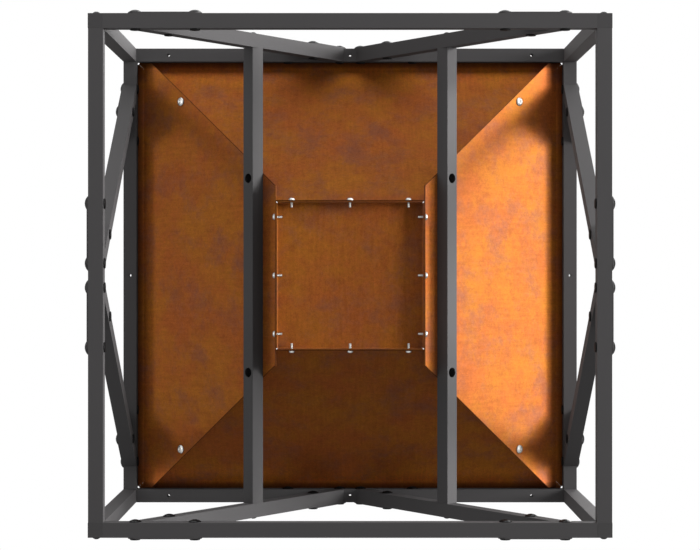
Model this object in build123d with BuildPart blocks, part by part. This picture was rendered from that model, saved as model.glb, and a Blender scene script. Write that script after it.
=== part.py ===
from build123d import *
import os
from math import atan2, sin, sqrt

# Square fire pit: a tube frame with bolted braces that carries a bent sheet bowl.
# Millimetres, +Z up, origin on the floor under the middle of the frame, front towards -Y.

os.makedirs("parts", exist_ok=True)

# Frame
frame_width = 700.0  # outside of the legs, the same both ways
frame_height = 420.0  # floor to the top of the upper rails
tube = 20.0  # outside of every square tube
tube_wall = 1.5
side_rail_inset = 0.4  # the bolted side rails stand this far inside the legs' faces
fit_gap = 0.1  # each side, around plugs and sleeves inside tubes and bores

# Foot caps
foot_cap_plate = 2.0
foot_cap_plug = 4.0  # height of the part inside the leg
foot_cap_wall = 2.0

# Braces
brace_corner_gap = 68.0  # outside of the frame to the middle of a brace's outer end
brace_centre_gap = 22.0  # centre of the side to the middle of a brace's inner end

# Gusset plates
gusset_sheet = 2.0
gusset_margin = 9.7  # round each bolt centre
gusset_bolt_spacing = 80.0  # along the rail
gusset_bolt_rise = 60.0  # from the rail's bolts to the brace's bolt

# Brace bolts and their barrel nuts
bolt_shank = 6.0
bolt_clearance = 0.5  # wider than the shank, through holes that hold no barrel
dome_width = 17.0
dome_height = 3.6
dome_edge = 0.8  # straight rim under the dome
bolt_socket = 4.0  # across the flats of the hexagon
socket_depth_share = 0.5  # of any head's height
barrel_width = 8.0
barrel_clearance = 0.3
barrel_length = 16.0
nut_cap_width = 14.0
nut_cap_height = 2.0
nut_cap_round = 0.8
shank_in_barrel = 10.0

# Button bolts of the side rails and crossbars, with their threaded plugs
button_width = 11.0
button_height = 3.3
button_edge = 0.6
plug_length = 14.0
plug_bolt_grip = 10.0  # shank inside the plug

# Bowl
bowl_sheet = 1.5
bowl_bend_radius = 1.5
bowl_ledge = 30.0  # outside of the frame to the fold of the rim
rim_inset = 1.0  # rim's edge inside the outside of the frame
floor_bar_gap = 25.6  # level, from a crossbar's flat to the outside of the panels' flanges
bowl_flange = 18.0
wing = 21.6  # side panels' overhang past the hip, along the front and back
wing_ring_gap = 2.0  # between the overhang and the upper rails
mitre_gap = 0.3  # between panels where they pass over each other
rim_mitre_gap = 0.04  # between the rims' mitred ends, level along the side
rim_relief_width = 6.0  # round opening where the rims' mitres meet the legs
hip_flange = 17.0  # strips turned out from the front and back panels, measured level
hip_end_gap = 4.0  # the strips stop this far from the overhang's ends
accessory_hole = 4.5
accessory_hole_inset = 70.0  # from the frame's outside, the holes near the corners

# Floor tray
floor_corner_notch = 2.0
floor_screw_inset = 24.0  # from the flanges' corners

# Small screws of the tray and the hips
screw_shank = 4.0
screw_length = 10.5
screw_head_width = 9.0
screw_head_height = 3.4
screw_head_edge = 0.8
screw_socket = 2.5

# Screws through the overhangs into the hip strips: one near the rim, one inside the crossbar
hip_screw_shank = 4.0
hip_screw_head_width = 13.0
hip_screw_head_height = 3.2
hip_screw_end = 1.2  # thread beyond the strip
hip_screw_inset = 63.0  # inside the rim's fold
hip_screw_past_hip = 7.0  # into the overhang
access_hole = 14.0  # in the crossbar, opposite the screw

# Crossbars
bar_turn = 45.0  # degrees, so that one flat lies against the sloping panels

# Places that follow from the sizes above
half = frame_width / 2
rail_line = half - tube / 2
leg_inner = half - tube
side_face = half - side_rail_inset
lower_rail_top = tube
upper_rail_under = frame_height - tube
bolt_hole = barrel_width + barrel_clearance
plain_hole = bolt_shank + bolt_clearance
bore = tube - 2 * tube_wall
plug_width = bore - 2 * fit_gap
thread_bore = bolt_shank + 2 * fit_gap
side_rail_x = side_face - tube / 2
brace_outer = half - brace_corner_gap
brace_run = brace_outer - brace_centre_gap
brace_rise = upper_rail_under - lower_rail_top
brace_angle = atan2(brace_rise, brace_run)
fold_half = half - bowl_ledge
rim_half = half - rim_inset
rim_top = frame_height + bowl_sheet
panel_rise = frame_height - fold_half  # a 45 degree slope's underside lies at z = this + its distance out
slope_sheet = bowl_sheet * sqrt(2)  # the sloping sheet's height, measured upright
overrun = bowl_sheet  # cuts run this far past a sheet's faces
accessory_offset = half - accessory_hole_inset

# Crossbar centre: on the braces' centreline, one flat lying against the side panels
run_share = brace_run / brace_rise
bar_lift = panel_rise - tube / 2 * sqrt(2)
bar_x = (brace_outer + run_share * (lower_rail_top - bar_lift)) / (1 + run_share)
bar_z = bar_x + bar_lift
bar_length = 2 * leg_inner
bar_contact_x = bar_x - tube / 2 / sqrt(2)  # middle of the flat that lies against the panel

# Lower end of the bowl, which hangs between the crossbars
floor_half = bar_contact_x - floor_bar_gap
floor_fold = floor_half + panel_rise
flange_bottom = floor_fold - bowl_flange
tray_half = floor_half - bowl_sheet
floor_screw_offset = floor_half - floor_screw_inset

# Faces of the four sides: x runs along the side, y is up, z points outwards
faces = {
    "front": Plane(origin=(0, -half, 0), x_dir=(1, 0, 0), z_dir=(0, -1, 0)),
    "back": Plane(origin=(0, half, 0), x_dir=(-1, 0, 0), z_dir=(0, 1, 0)),
    "left": Plane(origin=(-side_face, 0, 0), x_dir=(0, -1, 0), z_dir=(-1, 0, 0)),
    "right": Plane(origin=(side_face, 0, 0), x_dir=(0, 1, 0), z_dir=(1, 0, 0)),
}
# The name of each side's end towards its own +x
side_ends = {
    "front": {1: "right", -1: "left"},
    "back": {1: "left", -1: "right"},
    "left": {1: "front", -1: "back"},
    "right": {1: "back", -1: "front"},
}
peaked_sides = ("front", "back")  # their braces meet at the top, the others at the bottom


def save(piece, name):
    piece.part.label = name
    export_step(piece.part, f"parts/{name}.step")


# Where a brace's lower and upper ends lie along its side, for the end's sign
def brace_ends(side, sign):
    low, high = (brace_outer, brace_centre_gap) if side in peaked_sides else (brace_centre_gap, brace_outer)
    return sign * low, sign * high


# Bolt centres of one gusset: two on the rail's centreline, one on the brace's centreline
def gusset_bolts(side, sign, level):
    low, high = brace_ends(side, sign)
    lean = 1 if high > low else -1
    brace_up = gusset_bolt_rise - tube / 2
    middle = brace_up * run_share
    if level == "lower":
        start, rail_v, up, out = low, lower_rail_top, 1, lean
    else:
        start, rail_v, up, out = high, upper_rail_under, -1, -lean
    rail_bolts = [(start + out * (middle + shift * gusset_bolt_spacing / 2), rail_v - up * tube / 2)
                  for shift in (-1, 1)]
    return rail_bolts + [(start + out * middle, rail_v + up * brace_up)]


def side_bolts(side, level):
    return [point for sign in (-1, 1) for point in gusset_bolts(side, sign, level)]


# Rails and legs

rail_heights = (tube / 2, frame_height - tube / 2)
corner_signs = {"front_left": (-1, -1), "front_right": (1, -1), "back_left": (-1, 1), "back_right": (1, 1)}

# Upright tubes, open at both ends, with cross holes for the side rails' bolts
for name, (sx, sy) in corner_signs.items():
    with BuildPart() as leg:
        with BuildSketch(Plane.XY.offset(foot_cap_plate)):
            with Locations((sx * rail_line, sy * rail_line)):
                Rectangle(tube, tube)
                Rectangle(bore, bore, mode=Mode.SUBTRACT)
        extrude(amount=frame_height - foot_cap_plate)
        with BuildSketch(Plane.XZ):
            with Locations(*[(sx * side_rail_x, z) for z in rail_heights]):
                Circle(plain_hole / 2)
        extrude(amount=-sy * half, mode=Mode.SUBTRACT)
    save(leg, f"leg_{name}")

    # A flush plate with a short hollow plug that stops below the bolt
    with BuildPart() as foot_cap:
        with BuildSketch():
            with Locations((sx * rail_line, sy * rail_line)):
                Rectangle(tube, tube)
        extrude(amount=foot_cap_plate)
        with BuildSketch(Plane.XY.offset(foot_cap_plate)):
            with Locations((sx * rail_line, sy * rail_line)):
                Rectangle(plug_width, plug_width)
                Rectangle(plug_width - 2 * foot_cap_wall, plug_width - 2 * foot_cap_wall, mode=Mode.SUBTRACT)
        extrude(amount=foot_cap_plug)
    save(foot_cap, f"foot_cap_{name}")

# Each side has a lower and an upper rail between the legs, drilled for the gussets' bolts
for side, face in faces.items():
    for level, centre_z in zip(("lower", "upper"), rail_heights):
        with BuildPart() as rail:
            with BuildSketch(face.offset(-tube)):
                with Locations((0, centre_z)):
                    Rectangle(2 * leg_inner, tube)
            extrude(amount=tube)
            with BuildSketch(face.offset(tube_wall - tube)):
                with Locations((0, centre_z)):
                    Rectangle(2 * leg_inner, bore)
            extrude(amount=bore, mode=Mode.SUBTRACT)
            rail_holes = [(u, v) for u, v in side_bolts(side, level) if abs(v - centre_z) < tube / 2]
            with BuildSketch(face):
                with Locations(*rail_holes):
                    Circle(bolt_hole / 2)
            extrude(amount=-tube, mode=Mode.SUBTRACT)
            if level == "upper":
                offsets = (-accessory_offset, 0, accessory_offset) if side in peaked_sides else (0,)
                along, out = face.x_dir, face.z_dir
                middle = face.origin - out * tube / 2
                with BuildSketch(Plane.XY.offset(frame_height)):
                    with Locations(*[(middle + along * offset) for offset in offsets]):
                        Circle(accessory_hole / 2)
                extrude(amount=-tube, mode=Mode.SUBTRACT)
        save(rail, f"{level}_rail_{side}")

# Braces

cut_half = tube / 2 / sin(brace_angle)  # half of a brace's mitred end
bore_half = bore / 2 / sin(brace_angle)

# One mitred tube in a side's face plane, with holes for its gussets and its crossbar
for side, face in faces.items():
    for sign in (-1, 1):
        low, high = brace_ends(side, sign)
        with BuildPart() as brace:
            with BuildSketch(face.offset(-tube)):
                with BuildLine():
                    Polyline(
                        (low - cut_half, lower_rail_top), (low + cut_half, lower_rail_top),
                        (high + cut_half, upper_rail_under), (high - cut_half, upper_rail_under), close=True)
                make_face()
            extrude(amount=tube)
            with BuildSketch(face.offset(tube_wall - tube)):
                with BuildLine():
                    Polyline(
                        (low - bore_half, lower_rail_top), (low + bore_half, lower_rail_top),
                        (high + bore_half, upper_rail_under), (high - bore_half, upper_rail_under),
                        close=True)
                make_face()
            extrude(amount=bore, mode=Mode.SUBTRACT)
            with BuildSketch(face):
                with Locations(*[gusset_bolts(side, sign, level)[-1] for level in ("lower", "upper")]):
                    Circle(bolt_hole / 2)
                if side in peaked_sides:
                    with Locations((sign * bar_x, bar_z)):
                        Circle(plain_hole / 2)
            extrude(amount=-tube, mode=Mode.SUBTRACT)
        save(brace, f"brace_{side}_{side_ends[side][sign]}")

        # The plates that join its two ends to the rails
        for level in ("lower", "upper"):
            with BuildPart() as gusset:
                with BuildSketch(face):
                    with Locations(*gusset_bolts(side, sign, level)):
                        Circle(gusset_margin)
                    make_hull()
                    with Locations(*gusset_bolts(side, sign, level)):
                        Circle(bolt_hole / 2, mode=Mode.SUBTRACT)
                extrude(amount=gusset_sheet)
            save(gusset, f"gusset_{side}_{side_ends[side][sign]}_{level}")

# Crossbars

bar_screw_y = bar_contact_x + hip_screw_past_hip
bar_screw_ys = (-bar_screw_y, bar_screw_y)
hip_screw_bore = hip_screw_shank + 2 * fit_gap
bar_names = {-1: "left", 1: "right"}


# The plane on a crossbar's centreline that faces the side panel squarely
def bar_plane(sign, y):
    return Plane(origin=(sign * bar_x, y, bar_z), x_dir=(0, 1, 0), z_dir=(-sign, 0, 1))


# A tube turned 45 degrees: screw holes through the flat on the panel, access holes opposite
for sign, name in bar_names.items():
    with BuildPart() as crossbar:
        with BuildSketch(Plane.XZ.offset(-leg_inner)):
            with Locations((sign * bar_x, bar_z)):
                Rectangle(tube, tube, rotation=bar_turn)
                Rectangle(bore, bore, rotation=bar_turn, mode=Mode.SUBTRACT)
        extrude(amount=bar_length)
        for y in bar_screw_ys:
            with BuildSketch(bar_plane(sign, y)):
                Circle(hip_screw_bore / 2)
            extrude(amount=tube, mode=Mode.SUBTRACT)
            with BuildSketch(bar_plane(sign, y)):
                Circle(access_hole / 2)
            extrude(amount=-tube, mode=Mode.SUBTRACT)
    save(crossbar, f"crossbar_{name}")

# Threaded plugs, one flush in each end of the side rails and of the crossbars

rail_bolt_places = [(sx * side_rail_x, z) for sx in (-1, 1) for z in rail_heights]
bar_bolt_places = [(sx * bar_x, bar_z) for sx in (-1, 1)]

with BuildPart() as side_rail_plugs:
    for sign in (-1, 1):
        with BuildSketch(Plane.XZ.offset(sign * leg_inner)):
            with Locations(*rail_bolt_places):
                Rectangle(plug_width, plug_width)
                Circle(thread_bore / 2, mode=Mode.SUBTRACT)
        extrude(amount=-sign * plug_length)
save(side_rail_plugs, "side_rail_plugs")

with BuildPart() as crossbar_plugs:
    for sign in (-1, 1):
        with BuildSketch(Plane.XZ.offset(sign * leg_inner)):
            with Locations(*bar_bolt_places):
                Rectangle(plug_width, plug_width, rotation=bar_turn)
                Circle(thread_bore / 2, mode=Mode.SUBTRACT)
        extrude(amount=-sign * plug_length)
save(crossbar_plugs, "crossbar_plugs")

# Bolts, screws and nuts, each made once along +Z with its bearing face at z = 0


# A domed head above z = 0 with a hexagon socket, and a shank below
def headed_bolt(head_width, head_height, edge, shank, length, socket):
    radius = head_width / 2
    with BuildPart() as bolt:
        with BuildSketch(Plane.XZ):
            with BuildLine():
                Polyline(
                    (0, head_height), (0, -length), (shank / 2, -length), (shank / 2, 0), (radius, 0),
                    (radius, edge))
                TangentArc((0, head_height), (radius, edge), tangent=(1, 0))
            make_face()
        revolve(axis=Axis.Z)
        with BuildSketch(Plane.XY.offset(head_height)):
            RegularPolygon(socket / 2, 6, major_radius=False)
        extrude(amount=-head_height * socket_depth_share, mode=Mode.SUBTRACT)
    return bolt.part


# A flat cap above z = 0 with a threaded sleeve below, open at its lower end
def barrel_nut():
    with BuildPart() as nut:
        with BuildSketch():
            Circle(nut_cap_width / 2)
        extrude(amount=nut_cap_height)
        fillet(nut.edges().group_by(Axis.Z)[-1], nut_cap_round)
        with BuildSketch():
            Circle(barrel_width / 2)
            Circle(thread_bore / 2, mode=Mode.SUBTRACT)
        extrude(amount=-barrel_length)
    return nut.part


# Several copies of one fastener as separate solids in one piece
def fastener_group(fastener, places, name):
    with BuildPart() as group:
        with Locations(*[Location(place) for place in places]):
            add(fastener)
    save(group, name)


# The brace bolts point inwards through plate and tube, and on the back they are turned round
brace_bolt_length = tube + gusset_sheet - barrel_length + shank_in_barrel
bolt_places, nut_places = [], []
for side, face in faces.items():
    for u, v in side_bolts(side, "lower") + side_bolts(side, "upper"):
        outer_face = Plane(face.offset(gusset_sheet).from_local_coords((u, v)), z_dir=face.z_dir)
        inner_face = Plane(face.offset(-tube).from_local_coords((u, v)), z_dir=-face.z_dir)
        if side == "back":
            outer_face, inner_face = inner_face, outer_face
        bolt_places.append(outer_face)
        nut_places.append(inner_face)

brace_bolt = headed_bolt(dome_width, dome_height, dome_edge, bolt_shank, brace_bolt_length, bolt_socket)
fastener_group(brace_bolt, bolt_places, "brace_bolts")
fastener_group(barrel_nut(), nut_places, "brace_nuts")


# Button bolts enter from the front and back faces
def end_places(points):
    return [Plane((x, sign * half, z), z_dir=(0, sign, 0)) for sign in (-1, 1) for x, z in points]


button_length = tube + plug_bolt_grip
button_bolt = headed_bolt(button_width, button_height, button_edge, bolt_shank, button_length, bolt_socket)
fastener_group(button_bolt, end_places(rail_bolt_places), "side_rail_bolts")
fastener_group(button_bolt, end_places(bar_bolt_places), "crossbar_bolts")

# Bowl panels, each shaped on the +X side and then turned to its own side

inner_x = tray_half - bowl_sheet
wing_limit = leg_inner - wing_ring_gap
wing_top = frame_height - mitre_gap
plain_top = frame_height - mitre_gap / 2
slope_start = (fold_half + floor_half) / 2  # the rim's plan reaches this far in, over the slope
hip_low = floor_half + hip_end_gap
hip_high = wing_limit - hip_end_gap
hip_reach = slope_sheet + hip_flange
hip_screw_x = fold_half - hip_screw_inset
hip_holes = [(x, x + hip_screw_past_hip) for x in (bar_contact_x, hip_screw_x)]
floor_screw_z = (flange_bottom + floor_fold - bowl_sheet) / 2
floor_screw_places = [(y, floor_screw_z) for y in (-floor_screw_offset, 0, floor_screw_offset)]
screw_bore = screw_shank + 2 * fit_gap

# Section of every panel: rim, 45 degree slope and down-turned flange, seen along the side
with BuildSketch(Plane.XZ) as section:
    with BuildLine():
        FilletPolyline(
            (rim_half, frame_height), (fold_half, frame_height), (floor_half, floor_fold),
            (floor_half, flange_bottom), radius=bowl_bend_radius)
        offset(amount=bowl_sheet, side=Side.RIGHT)
    make_face()

# Plan of every rim between its mitres, with the round opening at each leg
with BuildSketch() as rim_plan:
    with BuildLine():
        Polyline(
            (slope_start, slope_start - rim_mitre_gap), (half, half - rim_mitre_gap),
            (half, rim_mitre_gap - half), (slope_start, rim_mitre_gap - slope_start), close=True)
    make_face()
    with Locations((leg_inner, leg_inner), (leg_inner, -leg_inner)):
        Circle(rim_relief_width / 2, mode=Mode.SUBTRACT)

# A side panel runs past the hips in flat wings that stay under the rims and clear of the rails
wing_edge = [
    (inner_x, floor_half + wing), (floor_half, floor_half + wing), (wing_limit - wing, wing_limit),
    (wing_top - panel_rise, wing_limit)]


# A plane on a side panel's underside at a place in its plan, facing down and out
def hip_plane(sx, x, y):
    return Plane(origin=(sx * x, y, x + panel_rise), x_dir=(0, 1, 0), z_dir=(sx, 0, -1))


with BuildPart() as side_panel:
    with BuildSketch(Plane.XY.offset(flange_bottom)):
        with BuildLine():
            Polyline(*wing_edge, *[(x, -y) for x, y in reversed(wing_edge)], close=True)
        make_face()
    extrude(amount=wing_top - flange_bottom)
    extrude(rim_plan.sketch.moved(Location((0, 0, frame_height - bowl_sheet))), amount=2 * bowl_sheet)
    extrude(section.sketch, amount=half, both=True, mode=Mode.INTERSECT)
    for x, y in hip_holes:
        for sy in (-1, 1):
            with BuildSketch(hip_plane(1, x, sy * y).offset(overrun)):
                Circle(hip_screw_bore / 2)
            extrude(amount=-bowl_sheet - 2 * overrun, mode=Mode.SUBTRACT)
    with BuildSketch(Plane.YZ.offset(inner_x)):
        with Locations(*floor_screw_places):
            Circle(screw_bore / 2)
    extrude(amount=2 * bowl_sheet + overrun, mode=Mode.SUBTRACT)
    with BuildSketch(Plane.XY.offset(rim_top)):
        with Locations((side_rail_x, 0)):
            Circle(accessory_hole / 2)
    extrude(amount=-bowl_sheet - overrun, mode=Mode.SUBTRACT)

# A front panel ends at the hips, where strips turn out over the side panels' wings
hip_under = panel_rise + slope_sheet
hip_over = hip_under + slope_sheet
with BuildPart() as hip_strip:
    with BuildSketch(Plane.YZ):
        with BuildLine():
            Polyline(
                (hip_low, hip_low + hip_under), (hip_high, hip_high + hip_under),
                (hip_high, hip_high + hip_over), (hip_low, hip_low + hip_over), close=True)
        make_face()
    extrude(amount=half)
    with BuildSketch(Plane.XY.offset(flange_bottom)):
        strip_end = wing_top - hip_over
        with BuildLine():
            Polyline(
                (hip_low + slope_sheet, hip_low), (hip_low + hip_reach, hip_low),
                (hip_high, hip_high - hip_reach), (hip_high, strip_end),
                (strip_end + slope_sheet, strip_end), close=True)
        make_face()
    extrude(amount=wing_top - flange_bottom, mode=Mode.INTERSECT)
    # The screws' threads, square to the wing that lies under the strip
    for x, y in hip_holes:
        with BuildSketch(Plane(origin=(y, x, x + panel_rise), z_dir=(0, -1, 1))):
            Circle(hip_screw_bore / 2)
        extrude(amount=2 * bowl_sheet + overrun, mode=Mode.SUBTRACT)

plain_edge = [
    (tray_half - mitre_gap, flange_bottom), (tray_half - mitre_gap, tray_half - mitre_gap + hip_under),
    (plain_top - hip_under, plain_top)]
with BuildPart() as front_panel:
    with BuildSketch(Plane.YZ):
        with BuildLine():
            Polyline(*plain_edge, *[(-y, z) for y, z in reversed(plain_edge)], close=True)
        make_face()
    extrude(amount=half)
    extrude(rim_plan.sketch.moved(Location((0, 0, plain_top))), amount=2 * bowl_sheet)
    extrude(section.sketch, amount=half, both=True, mode=Mode.INTERSECT)
    add(hip_strip.part)
    mirror(hip_strip.part, about=Plane.XZ)
    with BuildSketch(Plane.YZ.offset(inner_x)):
        with Locations(*floor_screw_places):
            Circle(screw_bore / 2)
    extrude(amount=2 * bowl_sheet + overrun, mode=Mode.SUBTRACT)
    with BuildSketch(Plane.XY.offset(rim_top)):
        with Locations(*[(rail_line, y) for y in (-accessory_offset, 0, accessory_offset)]):
            Circle(accessory_hole / 2)
    extrude(amount=-bowl_sheet - overrun, mode=Mode.SUBTRACT)

panel_turns = {"right": 0, "back": 90, "left": 180, "front": 270}
for side, turn in panel_turns.items():
    with BuildPart() as bowl_panel:
        add(front_panel.part if side in peaked_sides else side_panel.part, rotation=(0, 0, turn))
    save(bowl_panel, f"bowl_panel_{side}")

# Floor tray: a shallow upturned box with open corners, screwed to the panels' flanges

corner_places = [(sx * tray_half, sy * tray_half) for sx, sy in corner_signs.values()]
with BuildPart() as bowl_floor:
    with BuildSketch(Plane.XY.offset(flange_bottom)):
        Rectangle(2 * tray_half, 2 * tray_half)
    extrude(amount=bowl_flange)
    fillet(bowl_floor.edges().group_by(Axis.Z)[-1], bowl_sheet + bowl_bend_radius)
    offset(amount=-bowl_sheet, openings=bowl_floor.faces().sort_by(Axis.Z)[0])
    with BuildSketch(Plane.XY.offset(flange_bottom)):
        with Locations(*corner_places):
            Rectangle(2 * floor_corner_notch, 2 * floor_corner_notch)
    extrude(amount=bowl_flange, mode=Mode.SUBTRACT)
    for cross in (Plane.XZ, Plane.YZ):
        with BuildSketch(cross):
            with Locations(*floor_screw_places):
                Circle(screw_bore / 2)
        extrude(amount=floor_half, both=True, mode=Mode.SUBTRACT)
save(bowl_floor, "bowl_floor")

# Bright screws through the panels' flanges into the tray

floor_screw = headed_bolt(
    screw_head_width, screw_head_height, screw_head_edge, screw_shank, screw_length, screw_socket)
floor_screw_planes = [
    Plane(face.z_dir * floor_half + face.x_dir * y + Vector(0, 0, z), z_dir=face.z_dir)
    for face in faces.values() for y, z in floor_screw_places]
fastener_group(floor_screw, floor_screw_planes, "floor_screws")

# Hip screws from outside, and the same screws from inside the crossbars' walls

hip_screw = headed_bolt(
    hip_screw_head_width, hip_screw_head_height, screw_head_edge, hip_screw_shank,
    2 * bowl_sheet + hip_screw_end, bolt_socket)
fastener_group(hip_screw, [
    hip_plane(sx, hip_screw_x, sy * (hip_screw_x + hip_screw_past_hip)) for sx, sy in corner_signs.values()],
    "hip_screws")
bar_screw = headed_bolt(
    hip_screw_head_width, hip_screw_head_height, screw_head_edge, hip_screw_shank,
    tube_wall + 2 * bowl_sheet + hip_screw_end, bolt_socket)
bar_screw_seats = [bar_plane(sign, y).offset(bore / 2) for sign in bar_names for y in bar_screw_ys]
fastener_group(
    bar_screw, [Plane(seat.origin, z_dir=-seat.z_dir) for seat in bar_screw_seats], "crossbar_screws")
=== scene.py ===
import bmesh
import bpy
import math
from mathutils import Matrix, Vector


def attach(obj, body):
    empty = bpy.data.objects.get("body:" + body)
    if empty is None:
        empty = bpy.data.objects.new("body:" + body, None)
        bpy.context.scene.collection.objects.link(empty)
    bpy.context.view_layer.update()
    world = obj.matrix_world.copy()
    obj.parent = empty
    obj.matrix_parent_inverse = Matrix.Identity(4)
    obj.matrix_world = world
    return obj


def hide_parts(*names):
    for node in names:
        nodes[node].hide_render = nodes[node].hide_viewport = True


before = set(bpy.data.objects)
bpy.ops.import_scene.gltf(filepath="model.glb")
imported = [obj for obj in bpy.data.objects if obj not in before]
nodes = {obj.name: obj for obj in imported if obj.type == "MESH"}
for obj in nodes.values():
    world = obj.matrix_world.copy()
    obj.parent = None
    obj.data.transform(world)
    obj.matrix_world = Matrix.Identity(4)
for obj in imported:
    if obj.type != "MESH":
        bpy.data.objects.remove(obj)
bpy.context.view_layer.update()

# Square fire pit seen from straight below: anthracite tube frame, rusted steel bowl, zinc screws.
# Metres, the same frame as the CAD: +Z up, floor at z = 0, front towards -Y.
millimetre = 0.001


# The camera looks straight up from under the floor line
cameraView = {
    "below": 2.553,  # metres under the floor line
    "focalPixels": 1914.4,
    "imageWidth": 700,
    "axisOffsetPixels": (0.1, 0.44),  # where the picture's axis lies off its middle
    "sensor": 36.0,
    "clipEnd": 50.0,  # metres
}


def makeCamera(v):
    camera = bpy.data.cameras.new("belowCamera")
    camera.sensor_width = v["sensor"]
    camera.lens = v["focalPixels"] * v["sensor"] / v["imageWidth"]
    camera.shift_x = -v["axisOffsetPixels"][0] / v["imageWidth"]
    camera.shift_y = v["axisOffsetPixels"][1] / v["imageWidth"]
    camera.clip_end = v["clipEnd"]
    holder = bpy.data.objects.new("belowCamera", camera)
    holder.location = (0, 0, -v["below"])
    holder.rotation_euler = (math.pi, 0, 0)
    bpy.context.scene.collection.objects.link(holder)
    bpy.context.scene.camera = holder


makeCamera(cameraView)
print("camera placed under the fire pit")


# A socket that can stand in a sum: numbers become Math nodes, vectors become Vector Math nodes
class Wire:
    def __init__(self, finish, socket):
        self.finish, self.socket = finish, socket

    def __add__(self, other):
        return self.finish.combine("ADD", self, other)

    def __sub__(self, other):
        return self.finish.combine("SUBTRACT", self, other)

    def __rsub__(self, other):
        return self.finish.combine("SUBTRACT", other, self)

    def __mul__(self, other):
        return self.finish.combine("MULTIPLY", self, other)

    __radd__ = __add__
    __rmul__ = __mul__


# One node tree being wired: a material's, or the world's
class Finish:
    def __init__(self, tree):
        self.tree = tree
        self.tree.nodes.clear()

    def plug(self, socket, value):
        if isinstance(value, Wire):
            self.tree.links.new(value.socket, socket)
        else:
            socket.default_value = value

    # Any node: its settings first, then its sockets' values or links
    def node(self, kind, settings=None, inputs=None, output=0):
        made = self.tree.nodes.new("ShaderNode" + kind)
        for key, value in (settings or {}).items():
            setattr(made, key, value)
        for key, value in (inputs or {}).items():
            self.plug(made.inputs[key], value)
        return Wire(self, made.outputs[output]) if made.outputs else None

    def combine(self, operation, first, second):
        isVector = any(
            isinstance(one, tuple) or (isinstance(one, Wire) and one.socket.type == "VECTOR")
            for one in (first, second))
        kind = "VectorMath" if isVector else "Math"
        if isVector:
            first, second = [
                (one,) * 3 if isinstance(one, (int, float)) else one for one in (first, second)]
        return self.node(kind, {"operation": operation}, {0: first, 1: second})

    # Mixes two colours, given as numbers or sockets
    def blend(self, factor, first, second):
        first, second = [(*one, 1) if isinstance(one, tuple) else one for one in (first, second)]
        return self.node("Mix", {"data_type": "RGBA"}, {0: factor, 6: first, 7: second}, 2)

    def noise(self, place, scale, detail, roughness=0.55):
        return self.node("TexNoise", {}, {
            "Vector": place, "Scale": scale, "Detail": detail, "Roughness": roughness})

    # Raises the surface by a noise, on top of an earlier bump where one is given
    def bump(self, height, depth, strength, under=None):
        sockets = {"Strength": strength, "Distance": depth, "Height": height}
        if under:
            sockets["Normal"] = under
        return self.node("Bump", {}, sockets)

    # A soft step from 0 to 1 between two values
    def step(self, value, low, high):
        return self.node(
            "MapRange", {"interpolation_type": "SMOOTHSTEP"}, {"Value": value, 1: low, 2: high})

    def place(self):
        return self.node("TexCoord", output="Object")


def startFinish(name):
    material = bpy.data.materials.new(name)
    material.use_nodes = True
    return material, Finish(material.node_tree)


# Joins a Principled shader with these sockets to the material's output
def closeFinish(finish, sockets):
    surface = finish.node("BsdfPrincipled", {}, sockets)
    finish.node("OutputMaterial", {}, {"Surface": surface})


powderCoat = {
    "tone": (0.070, 0.0670, 0.0682),
    "driftPerMetre": 9.0,  # a slow drift in tone and roughness
    "driftDetail": 3.0,
    "driftTone": 0.08,
    "driftRough": 0.08,
    "roughness": 0.60,
    "peelPerMetre": 700.0,  # the coat's orange peel
    "peelDetail": 1.0,
    "peelDepth": 0.00005,
    "grainPerMetre": 2600.0,
    "grainDetail": 2.0,
    "grainDepth": 0.000018,
    "grainRough": 0.06,
    "bumpStrength": 0.6,
    "specular": 0.24,
}


def makePowderCoat(v):
    material, f = startFinish("anthracitePowderCoat")
    place = f.place()
    drift = f.noise(place, v["driftPerMetre"], v["driftDetail"])
    peel = f.noise(place, v["peelPerMetre"], v["peelDetail"])
    grain = f.noise(place, v["grainPerMetre"], v["grainDetail"])
    shade = 1 - v["driftTone"] + drift * (2 * v["driftTone"])
    peelBump = f.bump(peel, v["peelDepth"], v["bumpStrength"])
    closeFinish(f, {
        "Base Color": f.node("VectorMath", {"operation": "SCALE"}, {0: v["tone"], "Scale": shade}),
        "Roughness": v["roughness"] + drift * v["driftRough"] + grain * v["grainRough"],
        "Normal": f.bump(grain, v["grainDepth"], v["bumpStrength"], peelBump),
        "Specular IOR Level": v["specular"],
    })
    return material


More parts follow.
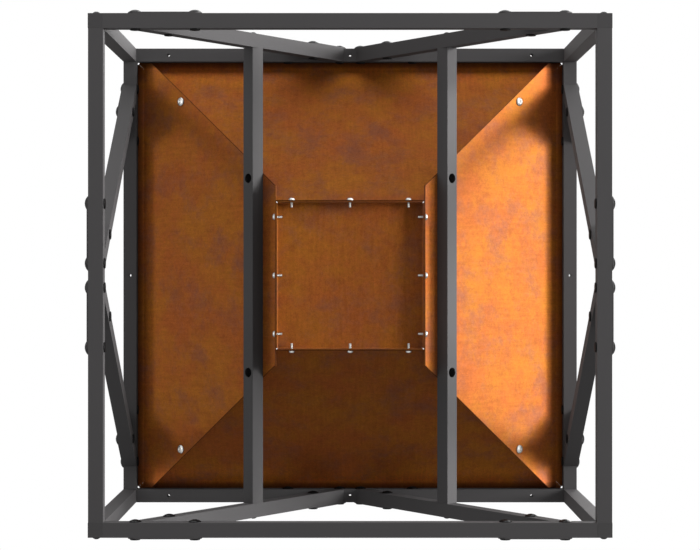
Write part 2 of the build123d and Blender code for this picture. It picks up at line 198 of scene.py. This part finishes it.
rustedSteel = {
    "orange": (0.43, 0.111, 0.022),
    "amber": (0.45, 0.147, 0.017),
    "plum": (0.27, 0.094, 0.052),
    "umber": (0.32, 0.083, 0.019),
    "amberSpan": (0.38, 0.62),  # the noise values between which each tone comes in
    "plumSpan": (0.52, 0.78),
    "plumStreaks": 0.15,
    "plumShare": 0.85,
    "umberSpan": (0.44, 0.72),
    "umberShare": 0.6,
    # Each noise's start, changes per metre, detail and roughness, from the broadest to the finest
    "noises": (
        ((0.0, 0.0, 0.0), 9.0, 9.0, 0.74),
        ((3.1, 1.7, 0.4), 17.0, 8.0, 0.72),
        ((0.6, 5.2, 2.3), 55.0, 6.0, 0.76),
        ((2.2, 0.3, 1.1), 200.0, 5.0, 0.8),
        ((0.0, 0.0, 0.0), 640.0, 3.0, 0.8),
    ),
    "streakDetail": 6.0,
    "streakRough": 0.74,
    "shadeBase": -0.24,  # the least brightness, and what each noise adds
    "shadeStreaks": 0.66,
    "shadeSpeckle": 0.95,
    "shadeMottle": 0.87,
    "roughness": 0.82,
    "roughClouds": 0.10,
    "roughSpeckle": 0.06,
    "scaleDepth": 0.0003,
    "scaleMottle": 0.3,
    "scaleStrength": 0.5,
    "speckleDepth": 0.00014,
    "speckleStrength": 0.7,
    "specular": 0.15,
    "seamPast": 0.0216,  # metres from the hip to the side panels' edge, where a dark joint line and the edge's painted shadow lie
    "seamWidth": (0.0003, 0.0014),
    "seamFrom": (0.1080, 0.1090),  # from the tray's half width on: no seam crosses it
    "seamShadeDark": 0.72,
    "rimSpan": (0.3195, 0.3305),  # from the slopes' fold; painted shade fills the corner up to the rails
    "rimShadeDark": 0.78,
    "rimMiddle": 0.42075,  # half way through the sheet of the rims
    "slopeMiddle": 0.10106,  # and of the slopes: height over the distance from the middle
    "underEdge": 0.0003,
    "foldLightSpan": (0.2800, 0.3185),  # painted light: the rust is made paler under the fold, on the undersides only
    "foldLightEnd": (0.3175, 0.3245),
    "cutSpan": (0.1900, 0.2065),  # painted shade: the flanges darken towards their cut lower ends
    "cutShadeDark": 0.55,
    "bounceGrey": 0.50,  # how far the light that the rust throws on the frame loses its colour
    "bounceLift": 1.5,  # and how much brighter its grey part is
    "mirrorGrey": 0.85,  # the same in the frame's reflections, and how much darker they show the rust
    "mirrorDark": 0.75,
}
# The streaks run down the slopes: along Y on the front and back, along X on the sides
rustAlongY = {**rustedSteel, "streaksPerMetre": (240.0, 20.0, 20.0), "foldLight": 1.05}
rustAlongX = {**rustedSteel, "streaksPerMetre": (20.0, 240.0, 20.0), "foldLight": 0.45}


def makeRust(name, v):
    material, f = startFinish(name)
    place = f.place()
    broad, clouds, blotches, mottle, speckle = [
        f.noise(place + start, scale, detail, rough) for start, scale, detail, rough in v["noises"]]
    streaks = f.noise(place * v["streaksPerMetre"], 1.0, v["streakDetail"], v["streakRough"])

    # Patches of four tones
    colour = f.blend(f.step(broad, *v["amberSpan"]), v["orange"], v["amber"])
    isPlum = f.step(clouds + streaks * v["plumStreaks"], *v["plumSpan"]) * v["plumShare"]
    colour = f.blend(isPlum, colour, v["plum"])
    colour = f.blend(f.step(blotches, *v["umberSpan"]) * v["umberShare"], colour, v["umber"])
    shade = v["shadeBase"] + streaks * v["shadeStreaks"] + speckle * v["shadeSpeckle"]
    shade = shade + mottle * v["shadeMottle"]

    # Distances from the middle, the same for all four panels
    out = f.node("VectorMath", {"operation": "ABSOLUTE"}, {0: place})
    across, along, height = [f.node("SeparateXYZ", {}, {0: out}, k) for k in (0, 1, 2)]
    farthest = f.node("Math", {"operation": "MAXIMUM"}, {0: across, 1: along})
    middle = f.node("Math", {"operation": "MINIMUM"}, {
        0: farthest + v["slopeMiddle"], 1: v["rimMiddle"]})
    isUnder = 1 - f.step(height - middle, -v["underEdge"], v["underEdge"])

    # Painted light under the fold; painted shade along the seams, at the rims and towards the flanges' cut
    # ends
    rimFrom, rimTo = v["rimSpan"]
    foldLightFrom, foldLightTo = v["foldLightSpan"]
    # painted light: paler rust on the slopes' undersides near the fold
    near = f.node("MapRange", {}, {"Value": farthest, 1: foldLightFrom, 2: foldLightTo})
    foldLight = near * near * (1 - f.step(farthest, *v["foldLightEnd"]))
    # a dark joint line with painted shadow along the side panels' overhanging edge, on the undersides
    offSeam = f.node("Math", {"operation": "ABSOLUTE"}, {0: along - across - v["seamPast"]})
    isSeamShade = f.step(across, *v["seamFrom"]) * (1 - f.step(offSeam, *v["seamWidth"]))
    # painted shade: darker into the corner between the rims and the rails, on the undersides
    rimShade = f.node("MapRange", {}, {"Value": farthest, 1: rimFrom, 2: rimTo}) * isUnder
    # painted shade: darker down the flanges towards their lower ends
    isCutShade = 1 - f.step(height, *v["cutSpan"])
    shade = shade * (1 + v["foldLight"] * (foldLight * isUnder))
    shade = shade * (1 - v["seamShadeDark"] * (isSeamShade * isUnder)) * (1 - v["rimShadeDark"] * rimShade)
    shade = shade * (1 - v["cutShadeDark"] * isCutShade)
    colour = f.node("VectorMath", {"operation": "SCALE"}, {0: colour, "Scale": shade})

    # What the rust throws on the frame, and what the frame mirrors of it, is greyer
    isBounce = f.node("LightPath", output="Is Diffuse Ray")
    isMirrored = f.node("LightPath", output="Is Glossy Ray")
    seen = 1 + isBounce * v["bounceLift"] - isMirrored * v["mirrorDark"]
    grey = f.node("RGBToBW", {}, {"Color": colour}) * seen
    greyShare = isBounce * v["bounceGrey"] + isMirrored * v["mirrorGrey"]

    scale = f.bump(clouds + mottle * v["scaleMottle"], v["scaleDepth"], v["scaleStrength"])
    closeFinish(f, {
        "Base Color": f.blend(greyShare, colour, grey),
        "Roughness": v["roughness"] + clouds * v["roughClouds"] + speckle * v["roughSpeckle"],
        "Normal": f.bump(speckle, v["speckleDepth"], v["speckleStrength"], scale),
        "Specular IOR Level": v["specular"],
    })
    return material


# Small parts: one noise clouds the tone, the roughness and the surface
zincPlate = {
    "tone": (0.78, 0.765, 0.74), "cloudTone": 0.82, "perMetre": (500.0, 500.0, 500.0), "detail": 3.0,
    "roughness": 0.25, "cloudRough": 0.14, "depth": 0.00003, "strength": 0.3,
    "metallic": 1.0, "specular": 0.5,
}
blackOxide = {
    "tone": (0.0045, 0.0044, 0.0046), "cloudTone": 1.5, "perMetre": (380.0, 380.0, 380.0), "detail": 3.0,
    "roughness": 0.16, "cloudRough": 0.14, "depth": 0.00003, "strength": 0.3,
    "metallic": 0.0, "specular": 0.25,
}
dullOxide = {**blackOxide, "tone": (0.0060, 0.0058, 0.0060), "roughness": 0.36, "specular": 0.10}
plainSteel = {
    "tone": (0.42, 0.41, 0.40), "cloudTone": 0.7, "perMetre": (90.0, 2400.0, 90.0), "detail": 3.0,
    "roughness": 0.38, "cloudRough": 0.2, "depth": 0.00003, "strength": 0.0,
    "metallic": 1.0, "specular": 0.5,
}
capPlastic = {
    "tone": (0.060, 0.0575, 0.0585), "cloudTone": 0.88, "perMetre": (1500.0, 1500.0, 1500.0), "detail": 2.0,
    "roughness": 0.62, "cloudRough": 0.1, "depth": 0.00003, "strength": 0.5,
    "metallic": 0.0, "specular": 0.27,
}


def makePlain(name, v):
    material, f = startFinish(name)
    cloud = f.noise(f.place() * v["perMetre"], 1.0, v["detail"])
    closeFinish(f, {
        "Base Color": f.blend(cloud, v["tone"], tuple(one * v["cloudTone"] for one in v["tone"])),
        "Roughness": v["roughness"] + cloud * v["cloudRough"],
        "Metallic": v["metallic"],
        "Normal": f.bump(cloud, v["depth"], v["strength"]),
        "Specular IOR Level": v["specular"],
    })
    return material


frameCoat = makePowderCoat(powderCoat)
rustDownY = makeRust("rustStreaksDownY", rustAlongY)
rustDownX = makeRust("rustStreaksDownX", rustAlongX)
zinc = makePlain("brightZinc", zincPlate)
boltBlack = makePlain("blackBoltFinish", blackOxide)
nutBlack = makePlain("blackNutFinish", dullOxide)
plugSteel = makePlain("plainPlugSteel", plainSteel)
capFinish = makePlain("footCapPlastic", capPlastic)
print("finishes made")


# Finishes and rounded edges of the nodes that come from the CAD
edgeRounds = {
    "tube": 0.7 * millimetre,
    "plate": 0.3 * millimetre,
    "sheet": 0.25 * millimetre,
}
edgeWork = {
    "weld": 0.002 * millimetre,
    "flatDegrees": 1,  # faces that lie flatter than this are merged
    "sharpDegrees": 35,  # and edges sharper than this are rounded
    "parts": 3,
}


def roundEdges(piece, width, v):
    weld = piece.modifiers.new("joinFaces", "WELD")
    weld.merge_threshold = v["weld"]
    flat = piece.modifiers.new("mergeFlats", "DECIMATE")
    flat.decimate_type, flat.angle_limit = "DISSOLVE", math.radians(v["flatDegrees"])
    bevel = piece.modifiers.new("roundEdges", "BEVEL")
    bevel.width, bevel.segments = width, v["parts"]
    bevel.limit_method, bevel.angle_limit = "ANGLE", math.radians(v["sharpDegrees"])
    bevel.use_clamp_overlap, bevel.harden_normals = True, True


# Starts of node names, with their finish and the rounding of their edges; the first that fits counts
dressing = (
    (("leg_", "lower_rail_", "upper_rail_", "crossbar_left", "crossbar_right"), frameCoat, "tube"),
    (("brace_front_", "brace_back_", "brace_left_", "brace_right_"), frameCoat, "tube"),
    (("gusset",), frameCoat, "plate"),
    (("foot_cap",), capFinish, "plate"),
    (("bowl_panel_left", "bowl_panel_right"), rustDownX, "sheet"),
    (("bowl",), rustDownY, "sheet"),
    (("brace_bolts", "side_rail_bolts", "crossbar_bolts"), boltBlack, None),
    (("brace_nuts",), nutBlack, None),
    (("side_rail_plugs", "crossbar_plugs"), plugSteel, None),
    (("floor_screws", "hip_screws", "crossbar_screws"), zinc, None),
)


def dress(name, piece):
    material, edge = next(look for starts, *look in dressing if name.startswith(starts))
    piece.data.materials.clear()
    piece.data.materials.append(material)
    if edge:
        roundEdges(piece, edgeRounds[edge], edgeWork)


for name in nodes:
    dress(name, nodes[name])
print("CAD pieces dressed")


# Bright screws with domed heads, hexagon sockets and rolled threads
# Millimetres: the same sizes as the CAD's screws, which these stand for
floorScrew = {
    "head": 9.0, "headHeight": 3.4, "edge": 0.8, "socket": 2.5, "socketDepth": 1.7,
    "shank": 4.0, "length": 10.5, "pitch": 0.7, "threadDepth": 0.38, "sides": 36,
    "tip": ((0.0, -0.75), (0.25, -0.45)),  # height over the tip, and radius past the shank's
    "threadFrom": 0.5,  # over the tip
    "plainPart": 1.4,  # the length without thread, both ends together
    "ringsPerTurn": 7,
    "neck": ((-0.35, 0.0), (-0.12, 0.06), (0, 0.22)),  # height, and radius past the shank's
    "headRim": ((0, -0.3), (0.09, -0.09), (0.3, 0.0)),  # height, and radius past the head's
    "domeParts": 8,
    "flatShare": 0.74,  # radii of the flat and of the socket's mouth, per width of the socket
    "mouthShare": 0.64,
    "mouthDepth": 0.22,
    "drillShare": 0.1,
    "drillDepth": 0.35,
}
hipScrew = {**floorScrew, "head": 13.0, "headHeight": 3.2, "socket": 4.0, "length": 4.2}
crossbarScrew = {**hipScrew, "length": 5.7}
screwTurn = 0.83  # each screw is turned this much more than the last
screwSharpDegrees = 42


# One ring of points: round, or a hexagon where across is given
def screwRing(v, height, radius=0.0, across=0.0):
    turn = 2 * math.pi / v["sides"]
    for k in range(v["sides"]):
        angle = k * turn
        reach = radius
        if across:
            reach = across / 2 / math.cos((angle + math.pi / 6) % (math.pi / 3) - math.pi / 6)
        yield reach * math.cos(angle), reach * math.sin(angle), height


def threadRing(v, height, share):
    turn = 2 * math.pi / v["sides"]
    for k in range(v["sides"]):
        wave = 0.5 - 0.5 * math.cos(2 * math.pi * height / v["pitch"] - k * turn)
        reach = v["shank"] / 2 - v["threadDepth"] * wave * share
        yield reach * math.cos(k * turn), reach * math.sin(k * turn), height


# Rings from the shank's tip up to the bottom of the socket
def screwRings(v):
    shank, head, top = v["shank"] / 2, v["head"] / 2, v["headHeight"]
    socket, edge, perTurn = v["socket"], v["edge"], v["ringsPerTurn"]
    rings = [screwRing(v, up - v["length"], shank + past) for up, past in v["tip"]]
    threaded = v["length"] - v["plainPart"]
    steps = round(threaded / v["pitch"] * perTurn)
    for k in range(steps + 1):
        height = v["threadFrom"] - v["length"] + k * threaded / steps
        rings.append(threadRing(v, height, min(1.0, (steps - k) / perTurn)))
    rings += [screwRing(v, height, shank + past) for height, past in v["neck"]]
    rings += [screwRing(v, height, head + past) for height, past in v["headRim"]]
    flat = socket * v["flatShare"]
    for k in range(v["domeParts"] + 1):
        bend = math.pi / 2 * k / v["domeParts"]
        height = edge + (top - edge) * math.sin(bend)
        rings.append(screwRing(v, height, flat + (head - flat) * math.cos(bend)))
    rings.append(screwRing(v, top, socket * v["mouthShare"]))
    rings.append(screwRing(v, top - v["mouthDepth"], across=socket))
    low = top - v["socketDepth"]
    rings.append(screwRing(v, low, across=socket))
    rings.append(screwRing(v, low - v["drillDepth"], socket * v["drillShare"]))
    return [list(ring) for ring in rings]


# One piece with a screw at each seat; each seat is a point and the way the head faces
def makeScrewSet(name, v, seats, replaced):
    mesh = bmesh.new()
    rings = screwRings(v)
    for index, (point, facing) in enumerate(seats):
        turned = Vector(facing).to_track_quat("Z", "Y").to_matrix().to_4x4()
        spot = Matrix.Translation(point) @ turned @ Matrix.Rotation(index * screwTurn, 4, "Z")
        loops = [[mesh.verts.new(spot @ (Vector(one) * millimetre)) for one in ring] for ring in rings]
        for low, high in zip(loops, loops[1:]):
            for k in range(v["sides"]):
                after = (k + 1) % v["sides"]
                mesh.faces.new((low[k], low[after], high[after], high[k]))
        mesh.faces.new(reversed(loops[0]))
        mesh.faces.new(loops[-1])
    for face in mesh.faces:
        face.smooth = True
    data = bpy.data.meshes.new(name)
    mesh.to_mesh(data)
    mesh.free()
    data.set_sharp_from_angle(angle=math.radians(screwSharpDegrees))
    data.materials.append(zinc)
    piece = bpy.data.objects.new(name, data)
    bpy.context.scene.collection.objects.link(piece)
    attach(piece, "root")
    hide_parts(replaced)


# Where the screws sit, in metres, from the CAD's own layout
screwSeats = {
    "trayHalf": 0.108012,  # inner faces of the panels' flanges
    "trayStep": 0.084012,
    "trayHeight": 0.198262,
    "hipOut": 0.257,
    "hipAlong": 0.264,
    "slopeRise": 0.100,  # the slopes' height over their distance from the middle
    "barOut": 0.140683,
    "barAlong": 0.140612,
    "barHeight": 0.226541,
    "barWall": 0.0085,  # from the crossbar's axis to its inner face
}


def traySeats(v):
    for nx, ny in ((0, -1), (1, 0), (0, 1), (-1, 0)):
        for step in (-v["trayStep"], 0.0, v["trayStep"]):
            x = nx * v["trayHalf"] - ny * step
            y = ny * v["trayHalf"] + nx * step
            yield (x, y, v["trayHeight"]), (nx, ny, 0)


def hipSeats(v):
    for sx in (-1, 1):
        for sy in (-1, 1):
            yield (sx * v["hipOut"], sy * v["hipAlong"], v["hipOut"] + v["slopeRise"]), (sx, 0, -1)


def crossbarSeats(v):
    lean = v["barWall"] / math.sqrt(2)
    for sx in (-1, 1):
        for sy in (-1, 1):
            yield (sx * (v["barOut"] - lean), sy * v["barAlong"], v["barHeight"] + lean), (sx, 0, -1)


makeScrewSet("floorScrewSet", floorScrew, traySeats(screwSeats), "floor_screws")
makeScrewSet("hipScrewSet", hipScrew, hipSeats(screwSeats), "hip_screws")
makeScrewSet("crossbarScrewSet", crossbarScrew, crossbarSeats(screwSeats), "crossbar_screws")
print("screws made")


stageLook = {
    "floorHalf": 9.0,
    "floorUnder": 0.3 * millimetre,  # keeps the floor off the rails' undersides
    "floorTone": (0.80, 0.80, 0.80),
    "cameraWhite": 1.0,
    "glossBelow": 1.0,  # what the glossy surfaces mirror, straight down and straight up
    "glossAbove": 0.15,
    "softBelow": 0.12,  # what lights the matt surfaces, from straight down, level and straight up
    "softLevel": 0.34,
    "softTop": 1.60,
    "levelSpan": (0.0, 0.5),  # from straight down (0) to straight up (1)
    "topSpan": (0.84, 0.96),
}


# The floor shows from above only, so that the view from below looks through it
def makeFloor(v):
    half, low = v["floorHalf"], -v["floorUnder"]
    mesh = bpy.data.meshes.new("studioFloor")
    corners = [(-half, -half, low), (half, -half, low), (half, half, low), (-half, half, low)]
    mesh.from_pydata(corners, [], [(0, 1, 2, 3)])
    floor = bpy.data.objects.new("studioFloor", mesh)
    bpy.context.scene.collection.objects.link(floor)
    material, f = startFinish("paleFloor")
    pale = f.node("BsdfDiffuse", {}, {"Color": (*v["floorTone"], 1)})
    clear = f.node("BsdfTransparent")
    backSide = f.node("NewGeometry", output="Backfacing")
    f.node("OutputMaterial", {}, {
        "Surface": f.node("MixShader", {}, {0: backSide, 1: pale, 2: clear})})
    mesh.materials.append(material)
    floor.visible_shadow = floor.visible_diffuse = floor.visible_glossy = False


def makeWorld(v):
    world = bpy.data.worlds.new("whiteStudio")
    world.use_nodes = True
    f = Finish(world.node_tree)
    isCamera = f.node("LightPath", output="Is Camera Ray")
    isGlossy = f.node("LightPath", output="Is Glossy Ray")
    direction = f.node("TexCoord", output="Generated")
    up = f.node("SeparateXYZ", {}, {0: direction}, 2) * 0.5 + 0.5
    soft = (
        v["softBelow"] + f.step(up, *v["levelSpan"]) * (v["softLevel"] - v["softBelow"])
        + f.step(up, *v["topSpan"]) * (v["softTop"] - v["softLevel"]))
    gloss = v["glossBelow"] + up * (v["glossAbove"] - v["glossBelow"])
    strength = soft + isCamera * (v["cameraWhite"] - soft) + isGlossy * (gloss - soft)
    glow = f.node("Background", {}, {"Color": (1, 1, 1, 1), "Strength": strength})
    f.node("OutputWorld", {}, {"Surface": glow})
    bpy.context.scene.world = world


# Place, aim, width and height of the soft lights
tallRight = {"place": (4.0, -0.84, -0.31), "aim": (0.2, 0.0, 0.3), "size": (1.6, 3.8)}
lowRight = {"place": (4.0, -0.62, 0.12), "aim": (0.2, 0.0, 0.3), "size": (1.1, 1.2)}
nearLeft = {"place": (-1.60, -0.22, -0.40), "aim": (-0.2, 0.0, 0.3), "size": (0.9, 1.3)}
lowLeft = {"place": (-4.0, -0.62, 0.12), "aim": (-0.2, 0.0, 0.3), "size": (1.1, 1.2)}
frontLow = {"place": (0.2, -1.9, 0.30), "aim": (0.0, -0.2, 0.3), "size": (3.0, 3.0)}
overhead = {"place": (0.8, -1.0, 2.6), "aim": (0.0, 0.0, 0.2), "size": (1.8, 1.8)}
# Each light's power; it skips the pieces under "skips", or lights only those under "only"
studioLights = {
    "keyRight": {**tallRight, "watts": 400.0, "skips": (
        "studioFloor", "bowl_panel_front", "bowl_panel_back", "bowl_panel_right", "hipScrewSet")},
    "trayRight": {**tallRight, "watts": 97.0, "only": ("bowl_floor", "hipScrewSet")},
    "bowlRightTall": {**tallRight, "watts": 235.0, "only": ("bowl_panel_right",)},
    "bowlRightLow": {**lowRight, "watts": 228.0, "only": ("bowl_panel_right",)},
    "fillLeft": {**nearLeft, "watts": 6.5, "skips": (
        "studioFloor", "bowl_panel_front", "bowl_panel_back", "bowl_panel_left")},
    "bowlLeftNear": {**nearLeft, "watts": 1.9, "only": ("bowl_panel_left",)},
    "bowlLeftLow": {**lowLeft, "watts": 34.0, "only": ("bowl_panel_left",)},
    "frontSoft": {**frontLow, "watts": 38.0, "skips": ("studioFloor",)},
    "topSoft": {**overhead, "watts": 30.0},
}


def makeLights(lights):
    for name, v in lights.items():
        lamp = bpy.data.lights.new(name, "AREA")
        lamp.energy, lamp.shape = v["watts"], "RECTANGLE"
        lamp.size, lamp.size_y = v["size"]
        holder = bpy.data.objects.new(name, lamp)
        holder.location = v["place"]
        holder.rotation_euler = (Vector(v["aim"]) - holder.location).to_track_quat("-Z", "Y").to_euler()
        holder.visible_camera = False
        bpy.context.scene.collection.objects.link(holder)
        for state, names in (("EXCLUDE", v.get("skips", ())), ("INCLUDE", v.get("only", ()))):
            if names:
                linked = bpy.data.collections.new(name + "Linked")
                for one in names:
                    linked.objects.link(bpy.data.objects[one])
                holder.light_linking.receiver_collection = linked
                for member in linked.collection_objects:
                    member.light_linking.link_state = state


makeFloor(stageLook)
makeWorld(stageLook)
makeLights(studioLights)
bpy.context.scene.view_settings.view_transform = "Standard"
print("stage lit")
